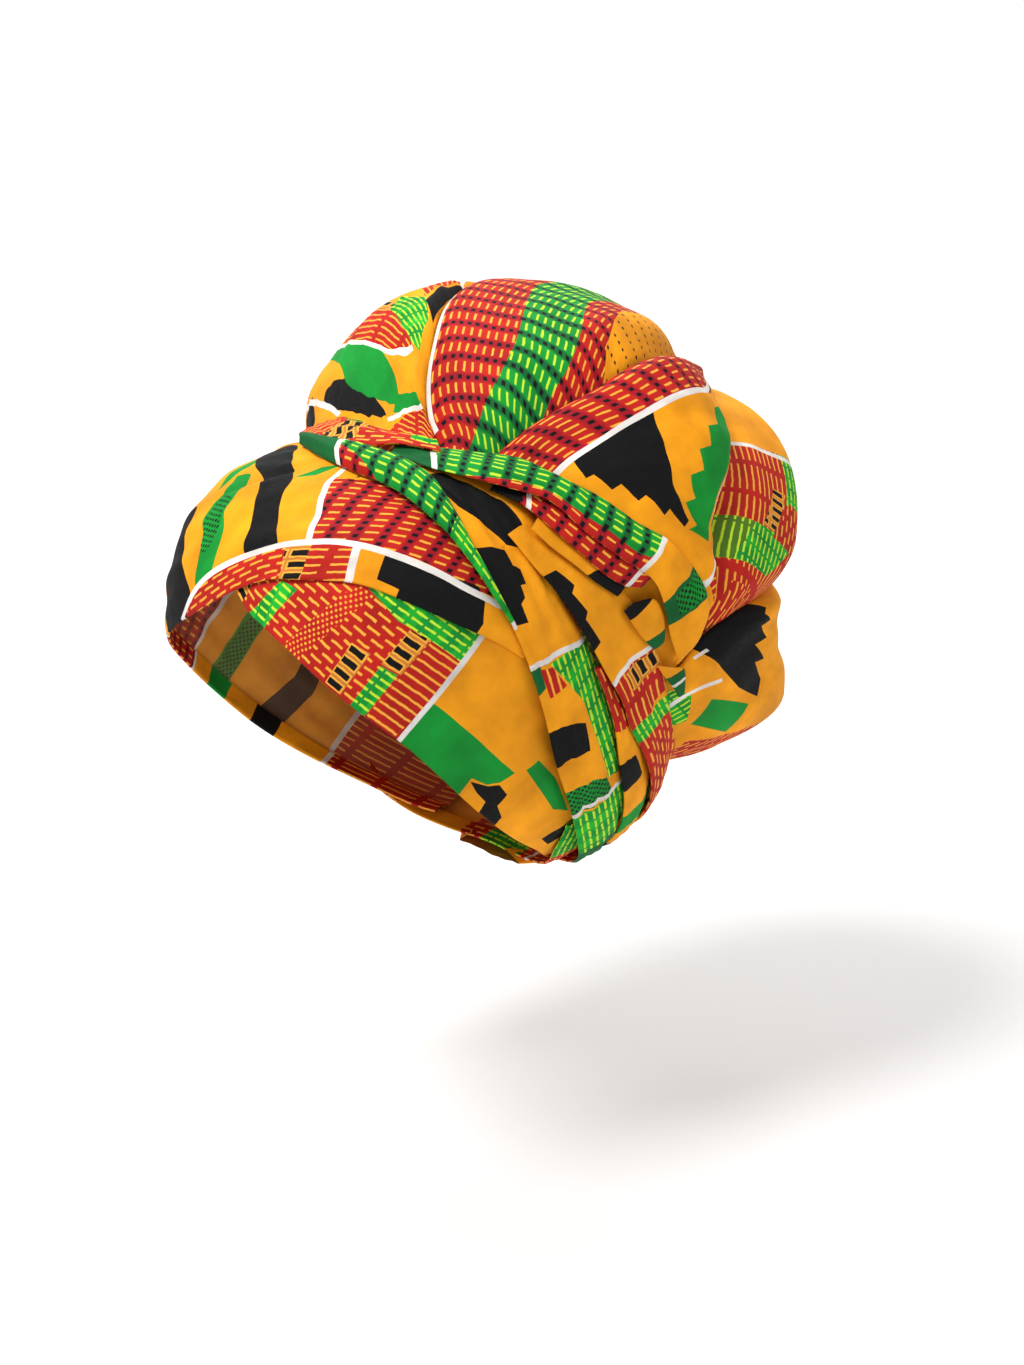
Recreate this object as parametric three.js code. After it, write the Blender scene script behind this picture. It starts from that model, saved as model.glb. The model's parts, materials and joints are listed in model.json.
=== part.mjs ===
// Tied head wrap in its worn form: a full crown puff over the back of the head,
// a brow band and a temple band that cross on the forehead, side folds that run
// back to the nape, and a sash that is tied round the foot of the puff.
//
// Millimetres, +Z up, the brow looks along -Y and +X is the wearer's left.
// The origin is the crown of the head, where the wrap sits.
//
// Every piece is a wall of cloth that is measured outward from one centre inside
// the head. A place on it is given by two angles in degrees about the tie axis,
// which points back and up through the middle of the puff:
//   turn  0 at the top of the tie, +90 at the wearer's left, 180 at the nape
//   open  0 on the axis, about 60 at the tie, about 130 at the brow's lower edge
import * as THREE from "three";

// Driving sizes
const CLOTH = 1.4;
const GAP = 0.6;
const CENTRE = new THREE.Vector3(0, 25, -80);
const TIE_TILT = 35;
// The hollow inside the wrap, from the centre out
const HEAD = { left: 80, right: 84, front: 112, back: 90, up: 88, down: 93, roundness: 2.75 };
const PUFF_REACH = 169;
const PUFF_FOOT = 76;
const PUFF_TURNS = 48;
const PUFF_RINGS = 17;
// Past its foot the puff's profile goes on this many degrees, and drops this far
const FOOT_RUN = 14;
const FOOT_DROP = 6;
// What lies on the puff comes down to the head within this many degrees of the foot
const FOOT_FADE = 5;
// Degrees above the foot where a crease begins and where it has its full depth
const CREASE_BEGINS = 4;
const CREASE_IS_FULL = 12;
// A crease is deepest at mid length: the part of a sine arch it follows, the arch's
// fullness, and how sharp its valley is
const CREASE_ARCH = { from: 0.2, span: 0.75, fullness: 0.6 };
const CREASE_SHARPNESS = 1.4;
const CREASE_STEPS = 16;
// The wall's depth is measured over this many degrees, on slopes up to this limit
const SLOPE_STEP = 2;
const LEAST_FACING = 0.4;

const radians = THREE.MathUtils.degToRad;
const TIE_AXIS = new THREE.Vector3(0, Math.cos(radians(TIE_TILT)), Math.sin(radians(TIE_TILT)));
const TIE_TOP = new THREE.Vector3(0, -Math.sin(radians(TIE_TILT)), Math.cos(radians(TIE_TILT)));
const TIE_LEFT = new THREE.Vector3(1, 0, 0);

// A short table: the first argument names the columns, each row holds their values
function table(columns, rows) {
  const names = columns.split(" ");
  return rows.map((row) => Object.fromEntries(names.map((name, i) => [name, row[i]])));
}

// Unit direction from the centre for the two angles
function direction(turn, open) {
  const t = radians(turn);
  const o = radians(open);
  return new THREE.Vector3()
    .addScaledVector(TIE_AXIS, Math.cos(o))
    .addScaledVector(TIE_TOP, Math.sin(o) * Math.cos(t))
    .addScaledVector(TIE_LEFT, Math.sin(o) * Math.sin(t));
}

function anglesOf(unit) {
  const turn = Math.atan2(unit.dot(TIE_LEFT), unit.dot(TIE_TOP));
  const open = Math.acos(THREE.MathUtils.clamp(unit.dot(TIE_AXIS), -1, 1));
  return { turn: THREE.MathUtils.radToDeg(turn), open: THREE.MathUtils.radToDeg(open) };
}

// Distance from the centre to the head's surface under the wrap
function headRadius(unit) {
  const x = Math.abs(unit.x) / (unit.x > 0 ? HEAD.left : HEAD.right);
  const y = Math.abs(unit.y) / (unit.y < 0 ? HEAD.front : HEAD.back);
  const z = Math.abs(unit.z) / (unit.z > 0 ? HEAD.up : HEAD.down);
  const n = HEAD.roundness;
  return (x ** n + y ** n + z ** n) ** (-1 / n);
}

// Value at one place of a smooth curve through knots, each with its place and value
function curve(knots, at) {
  let i = 1;
  while (i < knots.length - 3 && at > knots[i + 1].at) i += 1;
  const [a, b, c, d] = knots.slice(i - 1, i + 3);
  const span = c.at - b.at;
  const s = (at - b.at) / span;
  const slopeB = ((c.value - a.value) / (c.at - a.at)) * span;
  const slopeC = ((d.value - b.value) / (d.at - b.at)) * span;
  const s2 = s * s;
  const s3 = s2 * s;
  return (2 * s3 - 3 * s2 + 1) * b.value + (s3 - 2 * s2 + s) * slopeB
    + (3 * s2 - 2 * s3) * c.value + (s3 - s2) * slopeC;
}

// The crown puff: its radius along each row's turn, where open is 18, 36, 54 and 66
const PUFF_OPENS = [18, 36, 54, 66];
const PUFF_ROWS = table("turn r18 r36 r54 r66", [
  [0, 164, 150, 129, 100],
  [30, 162, 148, 118, 100],
  [60, 156, 147, 116, 98],
  [90, 157, 144, 122, 98],
  [120, 173, 153, 130, 112],
  [150, 168, 133, 155, 128],
  [180, 163, 150, 134, 106],
  [210, 165, 149, 121, 105],
  [240, 165, 148, 120, 103],
  [270, 166, 146, 124, 104],
  [300, 172, 142, 142, 132],
  [330, 170, 158, 144, 116],
]);

// Creases between the puff's lobes: a curve through foot, waist and top, with the
// greatest depth in millimetres and the half width in degrees
const CREASE_ROWS = table("footTurn footOpen waistTurn waistOpen topTurn topOpen depth width", [
  [15, 69, -4, 55, -26, 34, 9, 7],
  [29, 64, 35, 46, 45, 22, 12, 9],
  [104, 62, 86, 47, 60, 24, 12, 9],
  [106, 61, 112, 50, 135, 34, 9, 8],
  [178, 68, 176, 48, 160, 24, 10, 9],
  [228, 68, 232, 48, 240, 22, 10, 9],
  [272, 68, 270, 48, 280, 24, 10, 9],
  [294, 68, 300, 46, 330, 28, 7, 8],
]);
const CREASES = CREASE_ROWS.map((row) => {
  const path = new THREE.QuadraticBezierCurve3(
    direction(row.footTurn, row.footOpen),
    direction(row.waistTurn, row.waistOpen),
    direction(row.topTurn, row.topOpen),
  );
  return { ...row, points: path.getPoints(CREASE_STEPS).map((point) => point.normalize()) };
});

// How far the creases draw the puff in at a direction
function creaseDepth(unit) {
  let depth = 0;
  for (const crease of CREASES) {
    crease.points.forEach((point, i) => {
      const away = THREE.MathUtils.radToDeg(unit.angleTo(point));
      const arch = CREASE_ARCH.from + (CREASE_ARCH.span * i) / CREASE_STEPS;
      const fade = Math.sin(Math.PI * arch) ** CREASE_ARCH.fullness;
      const near = Math.max(0, 1 - away / crease.width);
      depth = Math.max(depth, crease.depth * fade * near ** CREASE_SHARPNESS);
    });
  }
  return depth;
}

const wrapTurn = (turn) => ((turn % 360) + 360) % 360;

// One column of the puff's table at any turn
function puffColumn(name, turn) {
  const count = PUFF_ROWS.length;
  const knots = [];
  for (let i = -1; i <= count + 1; i += 1) {
    const row = PUFF_ROWS[(i + count) % count];
    knots.push({ at: row.turn + 360 * Math.floor(i / count), value: row[name] });
  }
  return curve(knots, wrapTurn(turn));
}

// Smooth outer radius of the puff, without creases
function puffRadius(turn, open) {
  const foot = headRadius(direction(turn, PUFF_FOOT)) + GAP + CLOTH;
  const knots = [
    { at: -PUFF_OPENS[0], value: puffColumn("r18", turn + 180) },
    { at: 0, value: PUFF_REACH },
    ...PUFF_OPENS.map((at) => ({ at, value: puffColumn(`r${at}`, turn) })),
    { at: PUFF_FOOT, value: foot },
    { at: PUFF_FOOT + FOOT_RUN, value: foot - FOOT_DROP },
  ];
  return curve(knots, open);
}

// The surface that the tied pieces lie on: the head, or the puff where it is prouder
function restRadius(unit) {
  const { turn, open } = anglesOf(unit);
  const head = headRadius(unit);
  if (open < PUFF_FOOT) return Math.max(head, puffRadius(turn, open));
  const past = THREE.MathUtils.smoothstep(open, PUFF_FOOT, PUFF_FOOT + FOOT_FADE);
  return head + (GAP + CLOTH) * (1 - past);
}

function finish(name, positions, faces, colour) {
  const geometry = new THREE.BufferGeometry();
  geometry.setAttribute("position", new THREE.Float32BufferAttribute(positions, 3));
  geometry.setIndex(faces);
  geometry.computeVertexNormals();
  const material = new THREE.MeshStandardMaterial({ color: colour, roughness: 0.85, metalness: 0 });
  const mesh = new THREE.Mesh(geometry, material);
  mesh.name = name;
  return mesh;
}

// A strip of cloth as a closed wall. Each row gives its lower and upper edge, how far
// each edge lies off what is below, and how far the middle swells. A wound piece is
// solid under the swell, a plain one stays one wall thick.
const STRIP_COLUMNS = "lowTurn lowOpen highTurn highOpen lowLift highLift swell";
function strip(name, colour, rows, { across = 6, perRow = 3, wound = false } = {}) {
  const stations = table(STRIP_COLUMNS, rows);
  const spline = (pick) => new THREE.CatmullRomCurve3(stations.map(pick), false, "centripetal");
  const low = spline((row) => direction(row.lowTurn, row.lowOpen));
  const high = spline((row) => direction(row.highTurn, row.highOpen));
  const lifts = spline((row) => new THREE.Vector3(row.lowLift, row.highLift, row.swell));
  const along = (stations.length - 1) * perRow;
  const positions = [];
  for (const side of ["outer", "inner"]) {
    for (let i = 0; i <= along; i += 1) {
      const lowEdge = low.getPoint(i / along).normalize();
      const highEdge = high.getPoint(i / along).normalize();
      const lift = lifts.getPoint(i / along);
      for (let j = 0; j <= across; j += 1) {
        const s = j / across;
        const unit = lowEdge.clone().lerp(highEdge, s).normalize();
        const swell = lift.z * Math.sin(Math.PI * s);
        let radius = restRadius(unit) + THREE.MathUtils.lerp(lift.x, lift.y, s);
        if (side === "outer") radius += CLOTH + swell;
        if (side === "inner" && !wound) radius += swell;
        positions.push(...unit.multiplyScalar(radius).add(CENTRE).toArray());
      }
    }
  }
  return finish(name, positions, wallFaces(along, across), colour);
}

// Faces of a closed wall whose outer and inner grids share one layout
function wallFaces(along, across) {
  const width = across + 1;
  const inner = (along + 1) * width;
  const at = (i, j) => i * width + j;
  const faces = [];
  const quad = (a, b, c, d) => faces.push(a, b, c, a, c, d);
  for (let i = 0; i < along; i += 1) {
    for (let j = 0; j < across; j += 1) {
      quad(at(i, j), at(i + 1, j), at(i + 1, j + 1), at(i, j + 1));
      quad(inner + at(i, j), inner + at(i, j + 1), inner + at(i + 1, j + 1), inner + at(i + 1, j));
    }
    quad(at(i + 1, 0), at(i, 0), inner + at(i, 0), inner + at(i + 1, 0));
    quad(at(i, across), at(i + 1, across), inner + at(i + 1, across), inner + at(i, across));
  }
  for (let j = 0; j < across; j += 1) {
    quad(at(0, j), at(0, j + 1), inner + at(0, j + 1), inner + at(0, j));
    quad(at(along, j + 1), at(along, j), inner + at(along, j), inner + at(along, j + 1));
  }
  return faces;
}

// The puff is a bag that is open over the head
function crownPuff() {
  const outerRadius = (turn, open) => {
    const unit = direction(turn, open);
    const fade = THREE.MathUtils.smoothstep(PUFF_FOOT - open, CREASE_BEGINS, CREASE_IS_FULL);
    const drawnIn = puffRadius(turn, open) - creaseDepth(unit) * fade;
    return Math.max(drawnIn, headRadius(unit) + GAP + CLOTH);
  };
  const outerPoint = (turn, open) => direction(turn, open).multiplyScalar(outerRadius(turn, open));
  const positions = [];
  for (const side of ["outer", "inner"]) {
    for (let i = 0; i <= PUFF_RINGS; i += 1) {
      const open = (PUFF_FOOT * i) / PUFF_RINGS;
      const turns = i === 0 ? 1 : PUFF_TURNS;
      for (let k = 0; k < turns; k += 1) {
        const turn = (360 * k) / PUFF_TURNS;
        const point = outerPoint(turn, open);
        if (side === "inner") point.setLength(point.length() - wallDepth(outerPoint, turn, open));
        positions.push(...point.add(CENTRE).toArray());
      }
    }
  }
  const inner = 1 + PUFF_RINGS * PUFF_TURNS;
  const at = (i, k) => (i === 0 ? 0 : 1 + (i - 1) * PUFF_TURNS + (k % PUFF_TURNS));
  const faces = [];
  for (let k = 0; k < PUFF_TURNS; k += 1) {
    faces.push(0, at(1, k), at(1, k + 1), inner, inner + at(1, k + 1), inner + at(1, k));
    for (let i = 1; i < PUFF_RINGS; i += 1) {
      const [a, b, c, d] = [at(i, k), at(i, k + 1), at(i + 1, k + 1), at(i + 1, k)];
      faces.push(a, c, b, a, d, c);
      faces.push(inner + a, inner + b, inner + c, inner + a, inner + c, inner + d);
    }
    const [a, b] = [at(PUFF_RINGS, k), at(PUFF_RINGS, k + 1)];
    faces.push(a, inner + b, b, a, inner + a, inner + b);
  }
  return finish("crown_puff", positions, faces, "#c4281c");
}

// Depth of the puff's wall along the ray from the centre, for one thickness of cloth
// square to its surface, so that the steep foot is as thick as the crown
function wallDepth(pointAt, turn, open) {
  const ring = Math.min(Math.max(open, SLOPE_STEP), PUFF_FOOT);
  const here = pointAt(turn, ring);
  const downhill = pointAt(turn, ring).sub(pointAt(turn, ring - SLOPE_STEP));
  const sideways = pointAt(turn + SLOPE_STEP, ring).sub(pointAt(turn - SLOPE_STEP, ring));
  const normal = downhill.cross(sideways).normalize();
  const facing = Math.abs(normal.dot(here.normalize()));
  return CLOTH / Math.max(facing, LEAST_FACING);
}

const group = new THREE.Group();
group.add(crownPuff());

// Bands on the head
group.add(strip("temple_band", "#e8890c", [
  [2.5, 123.8, 3.5, 122, 0, 0, 0],
  [9, 126.7, 9, 117, 0, 0, 0],
  [16, 128, 16, 112, 0, 0, 0],
  [26, 129.6, 26, 106.5, 0, 0, 0],
  [43, 131.8, 43, 100, 0, 0, 0],
  [63, 132, 63, 93, 0, 0, 0],
  [80, 131.5, 80, 92, 0, 0, 0],
  [106, 127.9, 106, 96, 0, 0, 0],
  [125, 122, 125, 98, 0, 0, 0],
  [138, 116.2, 138, 99, 0, 0, 0],
  [150, 111.5, 150, 99, 0, 0, 0],
], { across: 6, perRow: 3 }));
group.add(strip("brow_band", "#e8890c", [
  [-158, 110, -158, 90, 0, 0, 0],
  [-140, 115.5, -140, 87, 0, 0, 0],
  [-120, 123, -120, 85, 0, 0, 0],
  [-100, 128.5, -100, 84, 0, 0, 0],
  [-80, 131.5, -80, 83, 0, 0, 1],
  [-60, 132.8, -60, 81, 0.8, 0.8, 2],
  [-40, 133, -40, 79, 2, 2, 3.5],
  [-20, 131.6, -20, 78, 2, 2, 3.5],
  [-8, 128.5, -8, 78, 2, 2, 3],
  [3, 123.6, 3, 79, 2, 2, 2],
  [12, 119.2, 12, 81, 2, 2, 1.5],
  [21, 115.7, 21, 84, 2, 2, 1],
  [31, 111, 31, 87, 2, 2, 1],
  [42, 107.8, 42, 90, 2, 2, 1],
  [51, 105, 51, 92.4, 2, 2, 0],
  [63, 100.4, 63, 94.4, 2, 2, 0],
  [71, 97.8, 71, 96, 2, 2, 0],
], { across: 7, perRow: 2 }));
group.add(strip("nape_band", "#1f7a2d", [
  [128, 109, 130, 105, 2, 2, 0],
  [138, 112.6, 140, 101, 3, 2, 0],
  [149, 112.2, 151, 97, 4.4, 2, 0],
  [165, 110.6, 165, 94, 4, 2, 0],
  [180, 110, 180, 93, 3, 2, 0],
  [195, 110.6, 195, 94, 4, 2, 0],
  [211, 112.2, 209, 97, 4.2, 2, 0],
  [222, 112.6, 220, 101, 3, 2, 0],
  [232, 109, 230, 105, 2, 2, 0],
], { across: 4, perRow: 2 }));

// Side folds on the wearer's left, each lapping over the one before
group.add(strip("side_pleat_1", "#1f7a2d", [
  [20, 84.6, 22, 76, 4.4, 2.2, 0],
  [32, 87.6, 34, 73, 4.8, 1.6, 1],
  [43, 90.8, 46, 71, 4.8, 1.4, 2],
  [53, 93.6, 55, 75, 4.8, 2, 3],
  [62.5, 95.4, 64, 79.5, 4.6, 4, 3],
  [73, 98.2, 74, 80, 4.4, 4, 3],
  [88, 102.8, 88, 81.5, 4.4, 4, 3.2],
  [104, 107, 104, 85, 4.4, 4, 3],
  [118, 108, 118, 90, 5, 4, 2.6],
  [130, 108, 130, 92, 6.2, 4, 2.4],
  [149, 106, 148, 95, 7.2, 4.2, 2.4],
  [168, 104, 168, 95, 6.4, 4.2, 1],
], { across: 5, perRow: 2 }));
group.add(strip("side_pleat_2", "#1b1712", [
  [88, 84.5, 90, 80.5, 8.2, 5.6, 0],
  [97, 86, 97, 80.5, 8.6, 4.8, 0.6],
  [104, 87.5, 105, 81, 8.6, 4.6, 1],
  [117, 92, 118, 81.5, 8.6, 4.6, 1.4],
  [129, 94.2, 130, 82.5, 8.6, 4.6, 1.4],
  [148, 97.5, 147, 84, 8.6, 4.6, 1.4],
  [168, 97, 168, 85, 7.4, 4.6, 0],
], { across: 3, perRow: 3 }));
group.add(strip("side_pleat_3", "#c4281c", [
  [47, 81.6, 48, 76, 7.8, 6, 0],
  [56, 82.2, 57, 71.5, 8, 3.2, 1],
  [63, 81.4, 65, 69, 8, 1.8, 1.6],
  [80, 81.6, 80, 67, 8.8, 1.6, 2],
  [91, 82.8, 91, 68, 9.8, 1.6, 2.4],
  [101, 83.3, 101, 69, 10, 1.8, 2.4],
  [110, 84.9, 111, 71, 10, 2, 2.4],
  [120, 84.8, 122, 72.6, 10, 2, 2.4],
  [131, 86, 132, 73.6, 10, 2, 2],
  [147, 88, 145, 74.6, 10, 2, 2],
  [168, 89, 168, 76, 8.6, 2, 1],
], { across: 5, perRow: 2 }));

// Folds on the wearer's right
group.add(strip("side_fold_right_1", "#1f7a2d", [
  [-164, 104, -164, 90, 5.6, 4, 1],
  [-149, 106, -148, 88, 6.4, 4, 1],
  [-125, 108, -125, 86, 4.6, 4, 1.6],
  [-100, 106, -100, 83, 3.8, 4, 1.6],
  [-80, 102, -80, 83, 4.4, 4, 1],
  [-66, 98, -66, 83, 5.2, 4.6, 0],
], { across: 4, perRow: 3 }));
group.add(strip("side_fold_right_2", "#c4281c", [
  [-164, 94, -164, 75, 10, 2, 1],
  [-148, 93, -146, 73, 10.4, 2, 2],
  [-125, 91, -125, 72, 10.6, 2, 2],
  [-100, 89, -100, 72, 10.6, 2, 2],
  [-78, 89, -78, 74, 10, 2, 1],
  [-60, 87, -60, 77, 7.4, 3, 0],
], { across: 4, perRow: 3 }));

// The cloth's end, drawn down over the folds at the nape and tucked in
group.add(strip("nape_tuck", "#e8890c", [
  [172, 70, 188, 70, 1.6, 1.6, 0],
  [171, 74, 189, 74, 4.6, 4.6, 0.5],
  [166, 78.6, 194, 78.6, 11.4, 11.4, 1],
  [163, 84, 197, 84, 13, 13, 1],
  [162, 92, 198, 92, 12.6, 12.6, 2],
  [163, 100, 197, 100, 10, 10, 2],
  [165, 107, 195, 107, 7.6, 7.6, 1],
  [168, 111, 192, 111, 6.6, 6.6, 0],
], { across: 5, perRow: 2 }));

// The tie round the foot of the puff
group.add(strip("ring_sash_right", "#e8890c", [
  [-168, 78.6, -168, 72, 8, 3.4, 0],
  [-158, 78.4, -158, 68, 8, 1.4, 1],
  [-136, 77.6, -136, 66, 8, 1.4, 3],
  [-110, 77, -110, 65, 8, 1.4, 3],
  [-84, 77, -84, 66, 8, 1.4, 3],
  [-60, 77.6, -60, 70, 6, 1.4, 2],
  [-46, 78.2, -44, 72.6, 3.4, 1.4, 1],
  [-36, 78, -36, 74.6, 2.6, 1.6, 0],
], { across: 4, perRow: 3 }));
group.add(strip("sash_inner_fold", "#e8890c", [
  [50, 77, 49, 72, 9, 6.2, 0],
  [56, 76, 55, 69.5, 8.6, 4.9, 0],
  [64.5, 73.6, 63, 67, 7.8, 4.4, 0],
  [71, 71.9, 70, 66, 6.8, 4, 0],
  [77.4, 70, 76.4, 65.2, 6.2, 4, 0],
], { across: 3, perRow: 2 }));
group.add(strip("sash_underfold", "#c4281c", [
  [37, 75.8, 36, 70, 5.4, 4.8, 0],
  [44.5, 74, 44, 67, 7.6, 5.8, 0],
  [53, 73.4, 52, 65.5, 9.6, 6.4, 0],
  [62, 71.8, 61, 64.5, 8.8, 6.4, 0],
  [70, 70.2, 69.5, 63, 8, 6.4, 0],
  [76.5, 68, 75.5, 61.5, 7.4, 6, 0],
  [79.5, 66, 79, 61.5, 7.2, 6, 0],
], { across: 3, perRow: 2 }));
group.add(strip("ring_sash_left", "#17a02f", [
  [13, 81.4, 10, 77.5, 6, 5, 0],
  [23, 80.6, 17, 72, 7, 1.4, 1],
  [32, 78, 26, 67.4, 9, 1.2, 2],
  [40, 74.4, 35, 63.6, 10.4, 1.2, 3],
  [48, 69.8, 46, 61.2, 10, 1.2, 3],
  [60, 68.4, 57, 59.2, 9.6, 1.2, 3],
  [70.5, 66.2, 67, 58, 9.2, 1.2, 3],
  [80, 64, 77, 56.2, 8.6, 1.2, 3],
  [89, 65.4, 87, 56.6, 8, 1.2, 3],
  [95.5, 67, 95, 57.8, 7.4, 1.2, 3],
  [99.5, 67.6, 99.5, 60, 6.6, 1.2, 3],
  [102, 68, 102.4, 63, 6, 1.4, 2],
  [103.4, 68.6, 104, 66, 5.6, 2.4, 0],
], { across: 4, perRow: 2 }));

// The cloth gathered over the brow, above the middle of the forehead
group.add(strip("knot_fold", "#c4281c", [
  [-34, 78, -34, 74.6, 4.8, 3.4, 0],
  [-28, 80, -28, 73.4, 5.6, 1.6, 1],
  [-20, 83, -21, 72.2, 6.6, 1.2, 3],
  [-11, 85.2, -11, 71.6, 6.6, 1.2, 3],
  [1, 82.8, 0, 71.4, 6.6, 1.2, 3],
  [12, 79, 9, 71, 8, 1.6, 2],
  [22, 74.8, 17, 71.4, 7, 4.4, 0],
], { across: 5, perRow: 2 }));
group.add(strip("twist_roll", "#17a02f", [
  [-14, 86.6, -15, 84.4, 5.4, 9.6, 0],
  [-3, 89.4, -5, 84.6, 5.4, 10, 2],
  [10, 90.8, 8, 83.6, 5.4, 10, 4],
  [22, 90.6, 20, 82.6, 6, 9.6, 4],
  [31, 91.2, 28, 83.6, 7.4, 9.2, 3.4],
  [38, 91.8, 36, 86.6, 8, 8.6, 2.6],
  [45, 93, 44, 89.8, 8, 8, 1.8],
  [54, 94.6, 54, 92.8, 7.8, 8, 1],
  [63, 96, 63, 95, 7.6, 7.6, 0.4],
], { across: 5, perRow: 2, wound: true }));

// Ends of the cloth pushed in behind the tie
group.add(strip("tuck_fold_1", "#1b1712", [
  [81.4, 71, 81.6, 68.2, 7.6, 6.4, 0],
  [86, 71, 84.5, 64.8, 7.4, 5.4, 1],
  [91, 70.8, 90, 65, 7.2, 4.8, 1.2],
  [96, 70.2, 95.6, 67.6, 7, 5.4, 0.6],
], { across: 3, perRow: 2 }));
group.add(strip("tuck_fold_2", "#e8890c", [
  [101, 71.2, 104.6, 68.8, 6.2, 4.8, 0],
  [105, 71, 106.6, 67.2, 5.4, 2, 0.4],
  [109, 70.8, 109.6, 67.6, 5, 1.8, 0.4],
  [114, 70.8, 114.6, 69.2, 4.6, 1.8, 0],
], { across: 3, perRow: 2 }));

export default group;
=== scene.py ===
"""Looks of the tied head wrap: every turn and fold of the printed cloth, over the
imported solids. Lengths here are millimetres until a mesh is made.

Places are given as in the solids' source, by two angles in degrees about the tie
axis, which points back and up through the middle of the puff:
  turn  0 at the top of the tie, +90 at the wearer's left, 180 at the nape
  open  0 on the axis, about 60 at the tie, about 130 at the brow's lower edge
"""

import json
import math

import bpy
import numpy as np
from mathutils import Matrix, Vector

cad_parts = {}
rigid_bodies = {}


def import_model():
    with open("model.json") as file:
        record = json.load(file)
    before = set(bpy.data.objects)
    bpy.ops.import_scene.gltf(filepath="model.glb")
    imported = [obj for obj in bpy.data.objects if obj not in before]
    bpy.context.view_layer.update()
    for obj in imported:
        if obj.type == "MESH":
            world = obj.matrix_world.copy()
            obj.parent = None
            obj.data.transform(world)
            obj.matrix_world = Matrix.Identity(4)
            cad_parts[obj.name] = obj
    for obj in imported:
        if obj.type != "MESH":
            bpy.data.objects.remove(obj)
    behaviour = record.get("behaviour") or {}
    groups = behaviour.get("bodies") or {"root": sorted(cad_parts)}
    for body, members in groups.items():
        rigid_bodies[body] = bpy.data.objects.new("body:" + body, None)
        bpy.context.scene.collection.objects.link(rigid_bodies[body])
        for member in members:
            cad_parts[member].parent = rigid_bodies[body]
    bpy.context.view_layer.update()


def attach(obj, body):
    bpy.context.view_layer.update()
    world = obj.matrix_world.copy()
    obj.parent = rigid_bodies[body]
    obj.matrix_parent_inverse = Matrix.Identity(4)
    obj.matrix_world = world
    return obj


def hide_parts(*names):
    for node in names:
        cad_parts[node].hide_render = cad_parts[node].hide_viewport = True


for old in list(bpy.data.objects):
    bpy.data.objects.remove(old)
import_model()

# The shape of the head and of the puff, as in the solids
CLOTH = 1.4
GAP = 0.6
CENTRE = np.array([0.0, 25.0, -80.0])
TIE_TILT = math.radians(35)
TIE_AXIS = np.array([0.0, math.cos(TIE_TILT), math.sin(TIE_TILT)])
TIE_TOP = np.array([0.0, -math.sin(TIE_TILT), math.cos(TIE_TILT)])
TIE_LEFT = np.array([1.0, 0.0, 0.0])
HEAD = {"left": 80, "right": 84, "front": 112, "back": 90, "up": 88, "down": 93}
HEAD_ROUNDNESS = 2.75
PUFF_REACH = 169
PUFF_FOOT = 76
FOOT_RUN = 14
FOOT_DROP = 6
FOOT_FADE = 5

PUFF_OPENS = (18, 36, 54, 66)
# turn, then the radius where open is 18, 36, 54 and 66
PUFF_ROWS = np.array([
    (0, 164, 150, 129, 100),
    (30, 162, 148, 118, 100),
    (60, 156, 147, 116, 98),
    (90, 157, 144, 122, 98),
    (120, 173, 153, 130, 112),
    (150, 168, 133, 155, 128),
    (180, 163, 150, 134, 106),
    (210, 165, 149, 121, 105),
    (240, 165, 148, 120, 103),
    (270, 166, 146, 124, 104),
    (300, 172, 142, 142, 132),
    (330, 170, 158, 144, 116),
], float)


def direction(turn, open_):
    """Unit vectors from the centre for the two angles."""
    t, o = np.radians(turn)[..., None], np.radians(open_)[..., None]
    return np.cos(o) * TIE_AXIS + np.sin(o) * (np.cos(t) * TIE_TOP + np.sin(t) * TIE_LEFT)


def angles_of(unit):
    turn = np.degrees(np.arctan2(unit @ TIE_LEFT, unit @ TIE_TOP))
    return turn, np.degrees(np.arccos(np.clip(unit @ TIE_AXIS, -1, 1)))


def head_radius(unit):
    x, y, z = unit[..., 0], unit[..., 1], unit[..., 2]
    sides = (
        np.abs(x) / np.where(x > 0, HEAD["left"], HEAD["right"]),
        np.abs(y) / np.where(y < 0, HEAD["front"], HEAD["back"]),
        np.abs(z) / np.where(z > 0, HEAD["up"], HEAD["down"]),
    )
    return sum(side**HEAD_ROUNDNESS for side in sides) ** (-1 / HEAD_ROUNDNESS)


def smooth(x, low, high):
    s = np.clip((x - low) / (high - low), 0, 1)
    return s * s * (3 - 2 * s)


def hermite(places, values, at):
    """Smooth curve through knots, with slopes from the neighbours. One row of values a knot."""
    places = np.asarray(places, float)
    i = np.clip(np.searchsorted(places, at, side="right") - 1, 1, len(places) - 3)
    pick = np.arange(len(at))
    a, b, c, d = (values[i + k, pick] for k in (-1, 0, 1, 2))
    span = places[i + 1] - places[i]
    s = (at - places[i]) / span
    slope_b = (c - a) / (places[i + 1] - places[i - 1]) * span
    slope_c = (d - b) / (places[i + 2] - places[i]) * span
    s2, s3 = s * s, s * s * s
    return ((2 * s3 - 3 * s2 + 1) * b + (s3 - 2 * s2 + s) * slope_b
            + (3 * s2 - 2 * s3) * c + (s3 - s2) * slope_c)


def puff_column(column, turn):
    turn = np.mod(turn, 360)
    rows = np.vstack([PUFF_ROWS[-1:], PUFF_ROWS, PUFF_ROWS[:2]])
    places = rows[:, 0].copy()
    places[0] -= 360
    places[-2:] += 360
    values = np.repeat(rows[:, column, None], len(turn), axis=1)
    return hermite(places, values, turn)


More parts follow.
